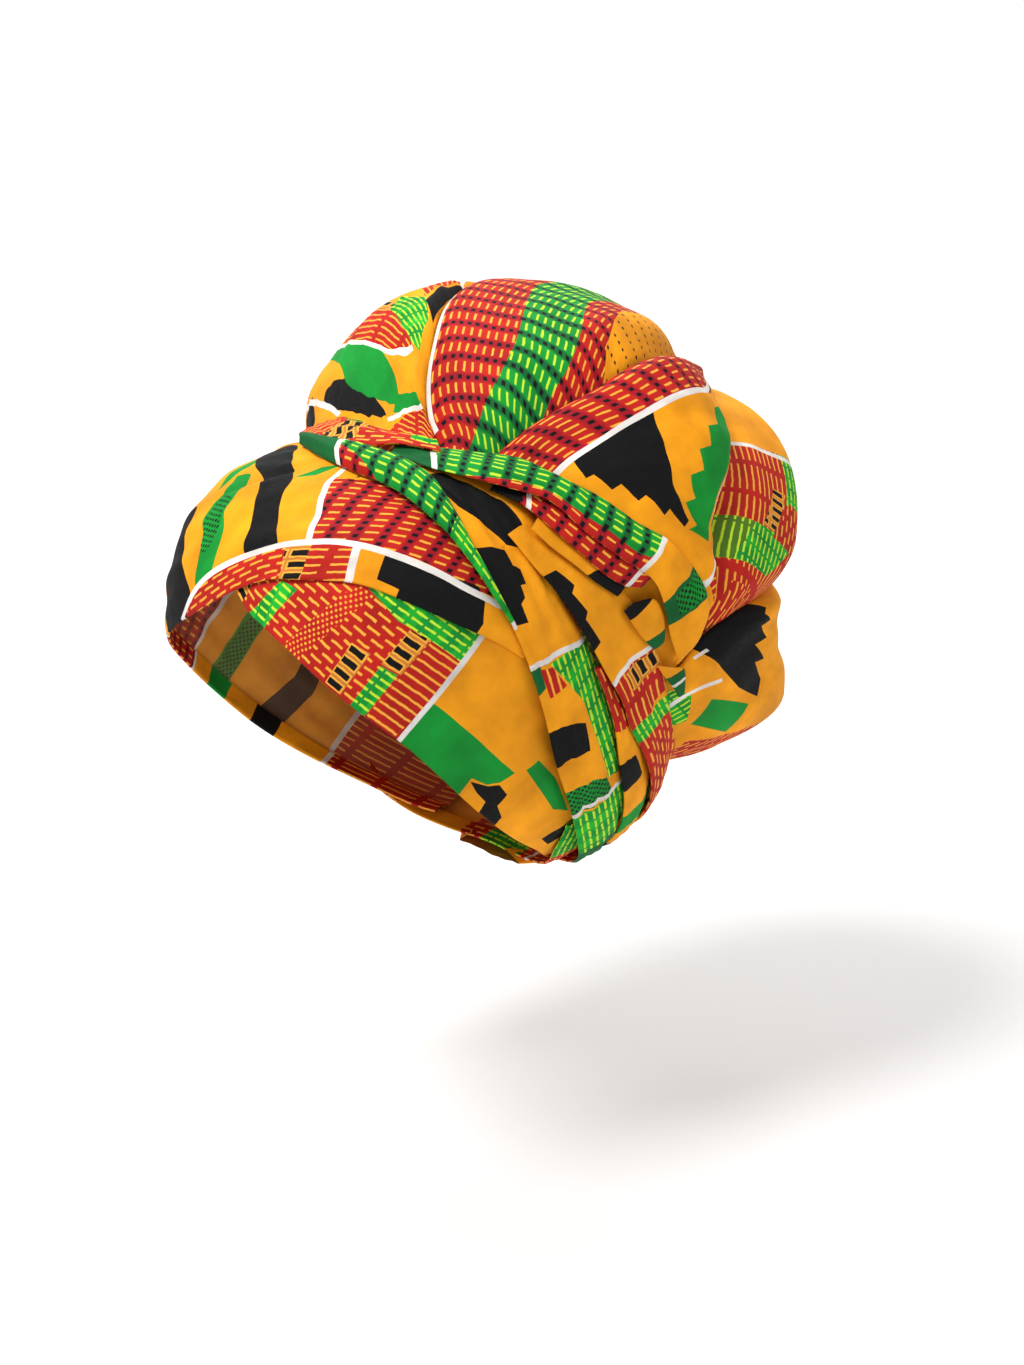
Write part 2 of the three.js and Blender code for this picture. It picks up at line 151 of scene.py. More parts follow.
def puff_radius(turn, open_):
    turn, open_ = np.broadcast_arrays(np.asarray(turn, float), np.asarray(open_, float))
    shape, turn, open_ = turn.shape, turn.ravel(), open_.ravel()
    foot = head_radius(direction(turn, np.full_like(turn, PUFF_FOOT))) + GAP + CLOTH
    knots = [puff_column(1, turn + 180), np.full_like(turn, PUFF_REACH)]
    knots += [puff_column(k, turn) for k in (1, 2, 3, 4)]
    knots += [foot, foot - FOOT_DROP]
    places = [-PUFF_OPENS[0], 0, *PUFF_OPENS, PUFF_FOOT, PUFF_FOOT + FOOT_RUN]
    return hermite(places, np.array(knots), open_).reshape(shape)


def rest_radius(unit):
    """What the tied pieces lie on: the head, or the puff where it is prouder."""
    shape = unit.shape[:-1]
    flat = unit.reshape(-1, 3)
    turn, open_ = angles_of(flat)
    head = head_radius(flat)
    past = smooth(open_, PUFF_FOOT, PUFF_FOOT + FOOT_FADE)
    low = head + (GAP + CLOTH) * (1 - past)
    on_puff = np.maximum(head, puff_radius(turn, np.minimum(open_, PUFF_FOOT)))
    return np.where(open_ < PUFF_FOOT, on_puff, low).reshape(shape)


def through(points, at):
    """A centripetal Catmull-Rom curve through the points, at places from 0 to 1."""
    p = np.vstack([2 * points[0] - points[1], points, 2 * points[-1] - points[-2]])
    last = len(points) - 1
    place = np.clip(at, 0, 1) * last
    i = np.minimum(place.astype(int), last - 1)
    s = (place - i)[:, None]
    a, b, c, d = (p[i + k] for k in range(4))
    g0, g1, g2 = (np.maximum(np.linalg.norm(q - r, axis=1), 1e-8)[:, None] ** 0.5
                  for q, r in ((b, a), (c, b), (d, c)))
    out = ((b - a) / g0 - (c - a) / (g0 + g1) + (c - b) / g1) * g1
    into = ((c - b) / g1 - (d - b) / (g1 + g2) + (d - c) / g2) * g1
    return (b + out * s + (-3 * b + 3 * c - 2 * out - into) * s**2
            + (2 * b - 2 * c + out + into) * s**3)


def unit_rows(v):
    return v / np.linalg.norm(v, axis=-1, keepdims=True)


# A sheet of cloth
FOLD = 0.65  # radius of a folded edge
FOLD_ARC = FOLD * math.pi / 2
HEM = 9.0  # how far the cloth goes back under a folded edge
LOBE_HEM = 5.0  # the same on the puff
FINE_INSIDE = (0.8, 1.8)  # extra rows of the mesh beside a folded edge, share across
FINE_UNDER = (2.2, 1.4, 0.7)  # and under it, mm
SAMPLES = 241  # places along a sheet where its length is taken
SAMPLES_ACROSS = 13
TINY = 1e-9
SPECK = 1e-5  # cut cells smaller than this are dropped
TUCK_REACH = 8  # how far a tucked edge keeps sinking, mm, and how steeply
TUCK_SLOPE = 0.3


class Sheet:
    """A strip of cloth between two edges. Its chart has x in millimetres along the
    middle and t from 0 at the lower edge to 100 at the upper one; below 0 and over
    100 t counts the millimetres that are turned under at a folded edge."""

    def __init__(self, rows, relief=None, on=rest_radius, tucked=(False, False), dip=0.0):
        rows = np.array(rows, float)
        self.low = direction(rows[:, 0], rows[:, 1])
        self.high = direction(rows[:, 2], rows[:, 3])
        self.lifts = rows[:, 4:7]
        self.relief = relief
        self.on = on
        self.tucked = tucked
        self.dip = dip
        s = np.linspace(0, 1, SAMPLES)
        middle = self.at(s, np.full_like(s, 0.5))
        steps = np.linalg.norm(np.diff(middle, axis=0), axis=1)
        self.s_table = s
        self.x_table = np.concatenate([[0], np.cumsum(steps)])
        self.length = float(self.x_table[-1])
        across = np.array([self.at(s, np.full_like(s, t))
                           for t in np.linspace(0, 1, SAMPLES_ACROSS)])
        self.w_table = np.linalg.norm(np.diff(across, axis=0), axis=2).sum(axis=0)

    def at(self, s, t, drop=0.0, x=None):
        low = unit_rows(through(self.low, s))
        high = unit_rows(through(self.high, s))
        lift = through(self.lifts, s)
        unit = unit_rows(low + (high - low) * t[:, None])
        radius = self.on(unit) + lift[:, 0] * (1 - t) + lift[:, 1] * t + CLOTH
        radius = radius + lift[:, 2] * np.sin(math.pi * np.clip(t, 0, 1)) - drop
        if self.relief is not None and x is not None:
            radius = radius + self.relief(x, t, self.width(x), s)
        return CENTRE + unit * radius[:, None]

    def width(self, x):
        return np.interp(x, self.x_table, self.w_table)

    def place(self, x, t):
        """Points for places on the chart, with the folded edges turned under."""
        s, width = np.interp(x, self.x_table, self.s_table), self.width(x)
        inside = np.minimum(t, 100 - t)
        inside = np.where(inside < 0, inside, inside / 100 * width)
        bend = np.clip(inside / FOLD, -math.pi / 2, math.pi / 2)
        shift = FOLD * (1 - np.cos(bend)) + np.maximum(np.abs(inside) - FOLD_ARC, 0)
        drop = np.where(inside > FOLD_ARC, 0, FOLD * (1 - np.sin(bend)))
        drop = drop + self.dip * np.maximum(-inside - FOLD_ARC, 0)
        low_side = t <= 50
        share = np.clip(shift / np.maximum(width, 0.5), 0, 0.5)
        across = np.where(low_side, share, 1 - share)
        across = np.where(inside >= FOLD_ARC, t / 100, across)
        for low, tucked in zip((True, False), self.tucked):
            side = (low_side == low) & (inside < FOLD_ARC) & tucked
            beyond = inside / np.maximum(width, 0.5)
            across = np.where(side, beyond if low else 1 - beyond, across)
            drop = np.where(side, np.clip(-inside, 0, TUCK_REACH) * TUCK_SLOPE, drop)
        return self.at(s, across, drop=drop, x=x)


def sides(polygon):
    return zip(polygon, polygon[1:] + polygon[:1])


def turned_area(polygon):
    """Twice the area, below 0 where the corners go clockwise."""
    return sum(a[0] * b[1] - b[0] * a[1] for a, b in sides(polygon))


def triangles(corners):
    """Triangles that fill a polygon, by cutting off ears."""
    points = [tuple(map(float, c)) for c in corners]
    if turned_area(points) < 0:
        points.reverse()
    out = []

    def cross(o, a, b):
        return (a[0] - o[0]) * (b[1] - o[1]) - (a[1] - o[1]) * (b[0] - o[0])

    while len(points) > 3:
        for i in range(len(points)):
            a, b, c = points[i - 1], points[i], points[(i + 1) % len(points)]
            if cross(a, b, c) <= TINY:
                continue
            if any(p not in (a, b, c) and cross(a, b, p) >= 0 and cross(b, c, p) >= 0
                   and cross(c, a, p) >= 0 for p in points):
                continue
            out.append((a, b, c))
            del points[i]
            break
        else:
            break
    out.append(tuple(points[:3]))
    return out


def cut(polygon, a, b):
    """The parts of a convex polygon on the left and on the right of the line a to b."""
    nx, ny = a[1] - b[1], b[0] - a[0]
    away = [(p[0] - a[0]) * nx + (p[1] - a[1]) * ny for p in polygon]
    left, right = [], []
    for (p, q), (d, e) in zip(sides(polygon), sides(away)):
        if d >= 0:
            left.append(p)
        if d <= 0:
            right.append(p)
        if d * e < 0:
            f = d / (d - e)
            mid = (p[0] + f * (q[0] - p[0]), p[1] + f * (q[1] - p[1]))
            left.append(mid)
            right.append(mid)
    return left, right


def shows(polygon):
    return len(polygon) > 2 and abs(turned_area(polygon)) / 2 > SPECK


def span(grid, values):
    """The part of a grid that holds the values, as two indices."""
    return (max(np.searchsorted(grid, min(values)) - 1, 0),
            min(np.searchsorted(grid, max(values)), len(grid) - 1))


def four(flags):
    """For each cell of a grid, whether all its corners are flagged."""
    return flags[:-1, :-1] & flags[1:, :-1] & flags[:-1, 1:] & flags[1:, 1:]


def box(xs, ts, i, j):
    return [(xs[i], ts[j]), (xs[i + 1], ts[j]), (xs[i + 1], ts[j + 1]), (xs[i], ts[j + 1])]


def lay_print(xs, ts, areas):
    """Cuts the grid of a chart along the edges of the printed areas. Returns the chart
    points, the faces and each face's area number, with later areas over earlier ones."""
    base = np.zeros((len(xs) - 1, len(ts) - 1), int)
    split = {}
    gx, gt = np.meshgrid(xs, ts, indexing="ij")
    for number, corners in areas:
        for tri in triangles(corners):
            i0, i1 = span(xs, [c[0] for c in tri])
            j0, j1 = span(ts, [c[1] for c in tri])
            if i1 <= i0 or j1 <= j0:
                continue
            bx, bt = gx[i0:i1 + 1, j0:j1 + 1], gt[i0:i1 + 1, j0:j1 + 1]
            inside = np.ones_like(bx, bool)
            outside = np.zeros((i1 - i0, j1 - j0), bool)
            for a, b in sides(tri):
                d = (bx - a[0]) * (a[1] - b[1]) + (bt - a[1]) * (b[0] - a[0])
                inside &= d >= -TINY
                outside |= four(d <= TINY)
            whole = four(inside)
            for i, j in np.argwhere(~outside):
                cell = (i + i0, j + j0)
                if whole[i, j]:
                    base[cell] = number
                    split.pop(cell, None)
                    continue
                parts = split.get(cell) or [(box(xs, ts, *cell), base[cell])]
                done = []
                for polygon, old in parts:
                    rest = polygon
                    for a, b in sides(tri):
                        rest, other = cut(rest, a, b)
                        if shows(other):
                            done.append((other, old))
                        if not shows(rest):
                            break
                    else:
                        done.append((rest, number))
                split[cell] = done
    return chart_faces(xs, ts, base, split)


def chart_faces(xs, ts, base, split):
    """Joins the cells and cut cells of a chart into faces that share their points."""
    found, index = [], {}

    def vertex(p):
        key = (round(p[0], 4), round(p[1], 4))
        if key not in index:
            index[key] = len(found)
            found.append(key)
        return key

    lines_x = {round(float(x), 4) for x in xs}
    lines_t = {round(float(t), 4) for t in ts}
    extra = {}
    for parts in split.values():
        for polygon, _ in parts:
            for p in polygon:
                key = vertex(p)
                on_x, on_t = key[0] in lines_x, key[1] in lines_t
                if on_x != on_t:
                    line = ("x", key[0]) if on_x else ("t", key[1])
                    extra.setdefault(line, set()).add(key[1] if on_x else key[0])
    extra = {line: np.array(sorted(values)) for line, values in extra.items()}

    def filled(polygon):
        keys = [vertex(p) for p in polygon]
        out = []
        for a, b in sides(keys):
            if a == b:
                continue
            out.append(index[a])
            axis = 0 if a[0] == b[0] else 1 if a[1] == b[1] else None
            line = None if axis is None else ("xt"[axis], a[axis])
            if line in extra:
                values = extra[line]
                lo, hi = sorted((a[1 - axis], b[1 - axis]))
                between = values[np.searchsorted(values, lo, "right"):np.searchsorted(values, hi)]
                if a[1 - axis] > b[1 - axis]:
                    between = between[::-1]
                for v in between:
                    out.append(index[(a[0], v) if axis == 0 else (v, a[1])])
        return out

    faces, numbers = [], []
    for i in range(len(xs) - 1):
        for j in range(len(ts) - 1):
            for polygon, number in split.get((i, j)) or [(box(xs, ts, i, j), base[i, j])]:
                face = filled(polygon)
                if len(face) > 2:
                    faces.append(face)
                    numbers.append(number)
    return np.array(found), faces, numbers


# The edges of each piece, one place after another along it: low turn, low open, high turn
# where it isn't the low one, high open, low lift, high lift and the swell between them
PIECES = {
    "temple_band":
        "2.5,123.8,3.5,122,0,0,0 9,126.7,117,0,0,0 16,128,112,0,0,0 26,129.6,106.5,0,0,0 "
        "43,131.8,100,0,0,0 63,132,93,0,0,0 80,131.5,92,0,0,0 106,127.9,96,0,0,0 125,122,98,0,0,0 "
        "138,116.2,99,0,0,0 150,111.5,99,0,0,0",
    "brow_band":
        "-158,110,90,0,0,0 -140,115.5,87,0,0,0 -120,123,85,0,0,0 -100,128.5,84,0,0,0 "
        "-80,131.5,83,0,0,1 -60,132.8,81,0.8,0.8,2 -40,133,79,2,2,3.5 -20,131.6,78,2,2,3.5 "
        "-8,128.5,78,2,2,3 3,123.6,79,2,2,2 12,119.2,81,2,2,1.5 21,115.7,84,2,2,1 31,111,87,2,2,1 "
        "42,107.8,90,2,2,1 51,105,92.4,2,2,0 63,100.4,94.4,2,2,0 71,97.8,96,2,2,0",
    "nape_band":
        "128,109,130,105,2,2,0 138,112.6,140,101,3,2,0 149,112.2,151,97,4.4,2,0 "
        "165,110.6,94,4,2,0 180,110,93,3,2,0 195,110.6,94,4,2,0 211,112.2,209,97,4.2,2,0 "
        "222,112.6,220,101,3,2,0 232,109,230,105,2,2,0",
    "side_pleat_1":
        "20,84.6,22,76,4.4,2.2,0 32,87.6,34,73,4.8,1.6,1 43,90.8,46,71,4.8,1.4,2 "
        "53,93.6,55,75,4.8,2,3 62.5,95.4,64,79.5,4.6,4,3 73,98.2,74,80,4.4,4,3 "
        "88,102.8,81.5,4.4,4,3.2 104,107,85,4.4,4,3 118,108,90,5,4,2.6 130,108,92,6.2,4,2.4 "
        "149,106,148,95,7.2,4.2,2.4 168,104,95,6.4,4.2,1 179,103,95,5.4,4,0",
    "side_pleat_2":
        "88,84.5,90,80.5,8.2,5.6,0 97,86,80.5,8.6,4.8,0.6 104,87.5,105,81,8.6,4.6,1 "
        "117,92,118,81.5,8.6,4.6,1.4 129,94.2,130,82.5,8.6,4.6,1.4 148,97.5,147,84,8.6,4.6,1.4 "
        "168,97,85,7.4,4.6,0 179,97,85,7,4.6,0",
    "side_pleat_3":
        "47,81.6,48,76,7.8,6,0 56,82.2,57,71.5,8,3.2,1 63,81.4,65,69,8,1.8,1.6 "
        "80,81.6,67,8.8,1.6,2 91,82.8,68,9.8,1.6,2.4 101,83.3,69,10,1.8,2.4 "
        "110,84.9,111,71,10,2,2.4 120,84.8,122,72.6,10,2,2.4 131,86,132,73.6,10,2,2 "
        "147,88,145,74.6,10,2,2 168,89,76,8.6,2,1 179,88,75,7.6,2,0",
    "side_fold_right_1":
        "-177,103,91,3.6,2.6,0 -164,104,90,5.6,4,1 -149,106,-148,88,6.4,4,1 -125,108,86,4.6,4,1.6 "
        "-100,106,83,3.8,4,1.6 -80,102,83,4.4,4,1 -66,98,83,5.2,4.6,0",
    "side_fold_right_2":
        "-177,94,76,5.6,1.4,0 -164,94,75,10,2,1 -148,93,-146,73,10.4,2,2 -125,91,72,10.6,2,2 "
        "-100,89,72,10.6,2,2 -78,89,74,10,2,1 -60,87,77,7.4,3,0",
    "nape_tuck":
        "172,70,188,70,1.6,1.6,0 171,74,189,74,4.6,4.6,0.5 166,78.6,194,78.6,11.4,11.4,1 "
        "163,84,197,84,13,13,1 162,92,198,92,12.6,12.6,2 163,100,197,100,10,10,2 "
        "165,107,195,107,7.6,7.6,1 168,111,192,111,6.6,6.6,0",
    "ring_sash_right":
        "-178,78.6,72,6,2,0 -168,78.6,72,8,3.4,0 -158,78.4,68,8,1.4,1 -136,77.6,66,8,1.4,3 "
        "-110,77,65,8,1.4,3 -84,77,66,8,1.4,3 -60,77.6,70,6,1.4,2 -46,78.2,-44,72.6,3.4,1.4,1 "
        "-36,78,74.6,2.6,1.6,0",
    "sash_inner_fold":
        "50,77,49,72,9,6.2,0 56,76,55,69.5,8.6,4.9,0 64.5,73.6,63,67,7.8,4.4,0 "
        "71,71.9,70,66,6.8,4,0 77.4,70,76.4,65.2,6.2,4,0",
    "sash_underfold":
        "37,75.8,36,70,5.4,4.8,0 44.5,74,44,67,7.6,5.8,0 53,73.4,52,65.5,9.6,6.4,0 "
        "62,71.8,61,64.5,8.8,6.4,0 70,70.2,69.5,63,8,6.4,0 76.5,68,75.5,61.5,7.4,6,0 "
        "79.5,66,79,61.5,7.2,6,0",
    "ring_sash_left":
        "13,81.4,10,77.5,6,5,0 23,80.6,17,72,7,1.4,1 32,78,26,67.4,9,1.2,2 "
        "40,74.4,35,63.6,10.4,1.2,3 48,69.8,46,61.2,10,1.2,3 60,68.4,57,59.2,9.6,1.2,3 "
        "70.5,66.2,67,58,9.2,1.2,3 80,64,77,56.2,8.6,1.2,3 89,65.4,87,56.6,8,1.2,3 "
        "95.5,67,95,57.8,7.4,1.2,3 99.5,67.6,60,6.6,1.2,3 102,68,102.4,63,6,1.4,2 "
        "103.4,68.6,104,66,5.6,2.4,0",
    "knot_fold":
        "-34,78,74.6,4.8,3.4,0 -28,80,73.4,5.6,1.6,1 -20,83,-21,72.2,6.6,1.2,3 "
        "-11,85.2,71.6,6.6,1.2,3 1,82.8,0,71.4,6.6,1.2,3 12,79,9,71,8,1.6,2 "
        "22,74.8,17,71.4,7,4.4,0",
    "twist_roll":
        "-14,86.6,-15,84.4,5.4,9.6,0 -3,89.4,-5,84.6,5.4,10,2 10,90.8,8,83.6,5.4,10,4 "
        "22,90.6,20,82.6,6,9.6,4 31,91.2,28,83.6,7.4,9.2,3.4 38,91.8,36,86.6,8,8.6,2.6 "
        "45,93,44,89.8,8,8,1.8 54,94.6,92.8,7.8,8,1 63,96,95,7.6,7.6,0.4",
    "tuck_fold_1":
        "81.4,71,81.6,68.2,7.6,6.4,0 86,71,84.5,64.8,7.4,5.4,1 91,70.8,90,65,7.2,4.8,1.2 "
        "96,70.2,95.6,67.6,7,5.4,0.6",
    "tuck_fold_2":
        "101,71.2,104.6,68.8,6.2,4.8,0 105,71,106.6,67.2,5.4,2,0.4 109,70.8,109.6,67.6,5,1.8,0.4 "
        "114,70.8,114.6,69.2,4.6,1.8,0",
}

# Creases of the puff from its foot to its crown: turn and open
CREASES = {
    "c12": "20,77 15,68 3,62 -5,54 -21,41 -38,24 -60,8 -60,0.3",
    "c23": "28,77 29,64 32,54 37,44.5 40,33 44,18 50,3 50,0.3",
    "c34": "106,77 105,61 98,55 90,51 85,44 82,34 72,20 60,5 60,0.3",
    "c45": "112,77 107,60 108,55 112,49 120,43 134,32 150,18 150,4 150,0.3",
    "c56": "178,77 178,68 177,58 174,46 167,33 160,20 160,5 160,0.3",
    "c67": "228,77 228,68 231,58 234,46 237,33 235,20 220,6 220,0.3",
    "c78": "272,77 272,68 271,58 272,46 276,33 280,20 270,6 270,0.3",
    "c81": "294,77 294,68 297,58 303,45 316,32 324,20 310,6 310,0.3",
}
# Lobes between two creases: deepest draw at each, and how wide each slope is. Where one
# lobe lies over its neighbour, its edge is folded and the neighbour's is tucked under it
LOBES = {
    "lobe_1": ("c81", "c12", 7, 8, 20, 22),
    "lobe_2": ("c12", "c23", 5, 12, 9, 26),
    "lobe_3": ("c23", "c34", 6, 9, 8, 14),
    "lobe_4": ("c34", "c45", 12, 9, 22, 18),
    "lobe_5": ("c45", "c56", 9, 9, 18, 22),
    "lobe_6": ("c56", "c67", 9, 9, 20, 20),
    "lobe_7": ("c67", "c78", 9, 8, 20, 20),
    "lobe_8": ("c78", "c81", 8, 7, 16, 16),
}
LOBE_KNOTS = 13
CREASE_POWER = 1.6  # over 1, so that a crease is sharper than its slopes
GATHERS, GATHER_REACH = (80, 11), 46  # small gathers at the foot: long, wide, reach, mm
BROAD_WAVES = (120, 34)
EDGE_CALM = 7  # waves fade out this near an edge, mm
TUCKED = {"lobe_1": (False, True), "lobe_2": (False, True), "lobe_4": (True, False)}


def lobe(name):
    left, right, left_depth, right_depth, left_slope, right_slope = LOBES[name]
    s = np.linspace(0, 1, LOBE_KNOTS)
    edges = []
    for crease in (left, right):
        turn, open_ = np.array(places(CREASES[crease])).T
        edges += angles_of(unit_rows(through(direction(turn, open_), s)))
    rows = np.column_stack([*edges, np.zeros((LOBE_KNOTS, 3))])

    def relief(x, t, width, s):
        y = t * width
        draw = np.sin(math.pi * np.clip(0.12 + 0.8 * s, 0, 1)) ** 0.7 * smooth(s, 0.02, 0.16)
        drawn = sum(depth * np.clip(1 - away / slope, 0, 1) ** CREASE_POWER
                    for depth, away, slope in ((left_depth, y, left_slope),
                                               (right_depth, (1 - t) * width, right_slope)))
        gathers = np.exp(-((x / GATHER_REACH) ** 2)) * waves(x, y, *GATHERS, 6 + left_depth)
        broad = waves(x, y, *BROAD_WAVES, right_slope + left_depth) * smooth(x, 10, 50)
        edge = smooth(np.minimum(t, 1 - t) * width, 0, EDGE_CALM)
        return (0.6 * gathers + 0.8 * broad) * edge - draw * drawn

    def on(unit):
        return puff_radius(*angles_of(unit)) - CLOTH

    return Sheet(rows, relief=relief, on=on, tucked=TUCKED.get(name, (False, False)))


# How the cloth lies: ripples in millimetres over the smooth shape
WAVE_COUNT = 9


def waves(u, v, long, wide, seed):
    """Smooth uneven waves from about -1 to 1, long along u and wide along v."""
    rng = np.random.default_rng(seed)
    out = np.zeros_like(u)
    for _ in range(WAVE_COUNT):
        a, b = rng.normal(0, 1, 2)
        out += np.sin(2 * math.pi * (u * a / long + v * b / wide) * 0.8 + rng.uniform(0, 6.3))
    return out / math.sqrt(WAVE_COUNT)


def places(path):
    """The places of a path, out of text such as "58,0 61,50"."""
    return [tuple(map(float, place.split(","))) for place in path.split()]


def beside(x, y, path):
    """Distance in millimetres from places on a sheet to a path drawn on it."""
    path = np.array(places(path))
    out = np.full(x.shape, np.inf)
    for a, b in zip(path, path[1:]):
        step = b - a
        share = np.clip(((x - a[0]) * step[0] + (y - a[1]) * step[1]) / (step @ step), 0, 1)
        out = np.minimum(out, np.hypot(x - a[0] - share * step[0], y - a[1] - share * step[1]))
    return out


def strip(name, height=0.5, long=90.0, wide=13.0, creases=(), dip=0.0):
    """A strip with uneven ripples and sharp creases: path in mm, depth and width of each."""
    seed = 10 + list(PIECES).index(name)
    rows = [row if len(row) == 7 else (*row[:2], row[0], *row[2:])
            for row in places(PIECES[name])]

    def relief(x, t, width, s):
        y = t * width
        rise = height * waves(x, y, long, wide, seed)
        for path, depth, broad in creases:
            away = beside(x, y, path) / broad
            rise = rise - depth * np.exp(-away) + 0.35 * depth * np.exp(-((away - 1.6) ** 2))
        return rise

    return Sheet(rows, relief=relief, dip=dip)


# Printed colours, as they look in plain light
def tone(r, g, b):
    return (*(((c / 255 + 0.055) / 1.055) ** 2.4 for c in (r, g, b)), 1.0)


RED = (184, 28, 18)
CRIMSON = (158, 12, 30)
GREEN = (10, 142, 46)
LEAF = (24, 168, 44)
DEEP_GREEN = (10, 96, 44)
OLIVE = (80, 120, 30)
ORANGE = (246, 156, 14)
TAN = (206, 126, 48)
YELLOW = (240, 168, 58)
LIME = (186, 222, 50)
BLACK = (4, 4, 5)
WHITE = (232, 226, 220)

# Ground, second ground on bands across the weave (pitch, width), then the marks:
# colour, pitch along and across, length, thickness, shift along and across if any, all in mm
FILLS = {
    "red_dot": (CRIMSON, (RED, 9.0, 5.6), [
        (YELLOW, 9.0, 3.7, 4.2, 0.95), (BLACK, 9.0, 3.7, 1.8, 1.8, 4.5, 1.85)]),
    "green_dot": (DEEP_GREEN, (GREEN, 9.0, 5.8), [
        (LIME, 9.0, 3.7, 4.4, 1.0), (BLACK, 9.0, 3.7, 1.8, 1.8, 4.5, 1.85)]),
    "orange_dot": (ORANGE, None, [(BLACK, 9.0, 3.3, 1.3, 1.3)]),
    "red_lines": (RED, None, [(YELLOW, 21.0, 3.5, 17.5, 0.9)]),
    "olive_lines": (OLIVE, None, [(LIME, 21.0, 3.3, 19.5, 0.9)]),
    "red_dash": (RED, None, [
        (YELLOW, 8.8, 6.4, 5.8, 1.0), (YELLOW, 8.8, 6.4, 5.8, 1.0, 4.4, 3.2)]),
    "red_speck": (RED, None, [
        (YELLOW, 2.6, 3.2, 0.9, 0.9), (YELLOW, 2.6, 3.2, 0.9, 0.9, 1.3, 1.6)]),
    "green_dash": (GREEN, (LEAF, 12.4, 6.2), [
        (LIME, 6.4, 3.2, 5.2, 1.0)]),
    "ladder": (TAN, None, [
        (YELLOW, 9.8, 5.0, 8.8, 3.9), (BLACK, 9.8, 5.0, 7.4, 2.5)]),
    "net": (GREEN, None, [
        (BLACK, 3.0, 2.6, 1.3, 1.1), (BLACK, 3.0, 2.6, 1.3, 1.1, 1.5, 1.3)]),
    "orange": (ORANGE, None, []),
    "black": (BLACK, None, []),
    "white": (WHITE, None, []),
    "green": (GREEN, None, []),
    "deep_green": (DEEP_GREEN, None, []),
}


WOBBLE = 0.8  # how far printed edges wander, mm
BAND_SOFT = 0.9  # how soft the edges of a second ground are, mm
MARK_SOFT = 0.3  # and those of a mark
TONES = ((0.84, -2), (1.05, 3))  # each colour wanders between these: times and plus
UNPRINTED = (206, 170, 140)
PALER = 0.16  # how much of that the wrong side of the cloth shows


class Fill:
    """The node tree of one printed fill, laid out in millimetres on the cloth."""

    def __init__(self, name, ground, second, marks):
        self.material = bpy.data.materials.new("print_" + name)
        self.material.use_nodes = True
        self.tree = self.material.node_tree
        self.tree.nodes.clear()
        uv = self.node("ShaderNodeUVMap")
        uv.uv_map = "print"
        place = uv.outputs["UV"]
        wobble = self.node("ShaderNodeSeparateColor",
                           Color=self.noise(place, 0.33, 1).outputs["Color"])
        flat = self.node("ShaderNodeSeparateXYZ", Vector=place)
        u, v = (self.math("ADD", flat.outputs[k], self.math("MULTIPLY", wobble.outputs[k], WOBBLE))
                for k in (0, 1))
        colour = self.two_tone(place, ground)
        if second:
            other, pitch, width = second
            band = self.near(u, pitch, width, 0, BAND_SOFT)
            colour = self.over(colour, self.two_tone(place, other), band)
        for mark, pitch_u, pitch_v, long, thick, *shift in marks:
            shift_u, shift_v = shift or (0, 0)
            mask = self.math("MULTIPLY", self.near(u, pitch_u, long, shift_u, MARK_SOFT),
                             self.near(v, pitch_v, thick, shift_v, MARK_SOFT))
            colour = self.over(colour, tone(*mark), mask)
        self.finish(place, colour)

    def node(self, kind, **inputs):
        node = self.tree.nodes.new(kind)
        for name, value in inputs.items():
            self.put(value, node.inputs[name.replace("_", " ")])
        return node

    def put(self, value, socket):
        if isinstance(value, bpy.types.NodeSocket):
            self.tree.links.new(value, socket)
        else:
            socket.default_value = value

    def math(self, operation, *values, clamp=False):
        node = self.node("ShaderNodeMath")
        node.operation, node.use_clamp = operation, clamp
        for value, socket in zip(values, node.inputs):
            self.put(value, socket)
        return node.outputs[0]

    def noise(self, place, scale, detail):
        return self.node("ShaderNodeTexNoise", Vector=place, Scale=scale, Detail=detail)

    def near(self, along, pitch, size, shift, soft):
        """1 within half the size of a line that repeats at the pitch, else 0."""
        if shift:
            along = self.math("ADD", along, shift)
        away = self.math("PINGPONG", along, pitch / 2)
        return self.math("MULTIPLY_ADD", away, -1 / soft, size / 2 / soft + 0.5, clamp=True)

    def over(self, colour, other, mask):
        node = self.node("ShaderNodeMix")
        node.data_type = "RGBA"
        self.put(mask, node.inputs[0])
        self.put(colour, node.inputs[6])
        self.put(other, node.inputs[7])
        return node.outputs[2]

    def two_tone(self, place, colour):
        patches = self.noise(place, 0.045, 3).outputs[0]
        share = self.math("MULTIPLY_ADD", patches, 2.2, -0.6, clamp=True)
        dark, light = (tone(*(min(max(c * times + plus, 0), 255) for c in colour))
                       for times, plus in TONES)
        return self.over(dark, light, share)

    def finish(self, place, colour):
        """The wrong side of the cloth is a little paler than the printed side."""
        side = self.node("ShaderNodeNewGeometry").outputs["Backfacing"]
        colour = self.over(colour, tone(*UNPRINTED), self.math("MULTIPLY", side, PALER))
        crinkle = self.node("ShaderNodeBump", Strength=0.55, Distance=0.0016,
                            Height=self.noise(place, 0.07, 3).outputs[0])
        threads = self.node("ShaderNodeBump", Strength=0.25, Distance=0.0003,
                            Height=self.noise(place, 1.6, 2).outputs[0],
                            Normal=crinkle.outputs[0])
        rough = self.math("MULTIPLY_ADD", self.noise(place, 0.4, 2).outputs[0], 0.2, 0.68)
        shader = self.node("ShaderNodeBsdfPrincipled", Base_Color=colour, Roughness=rough,
                           Specular_IOR_Level=0.2, Normal=threads.outputs[0])
        self.node("ShaderNodeOutputMaterial", Surface=shader.outputs[0])


materials = {name: Fill(name, *parts).material for name, parts in FILLS.items()}


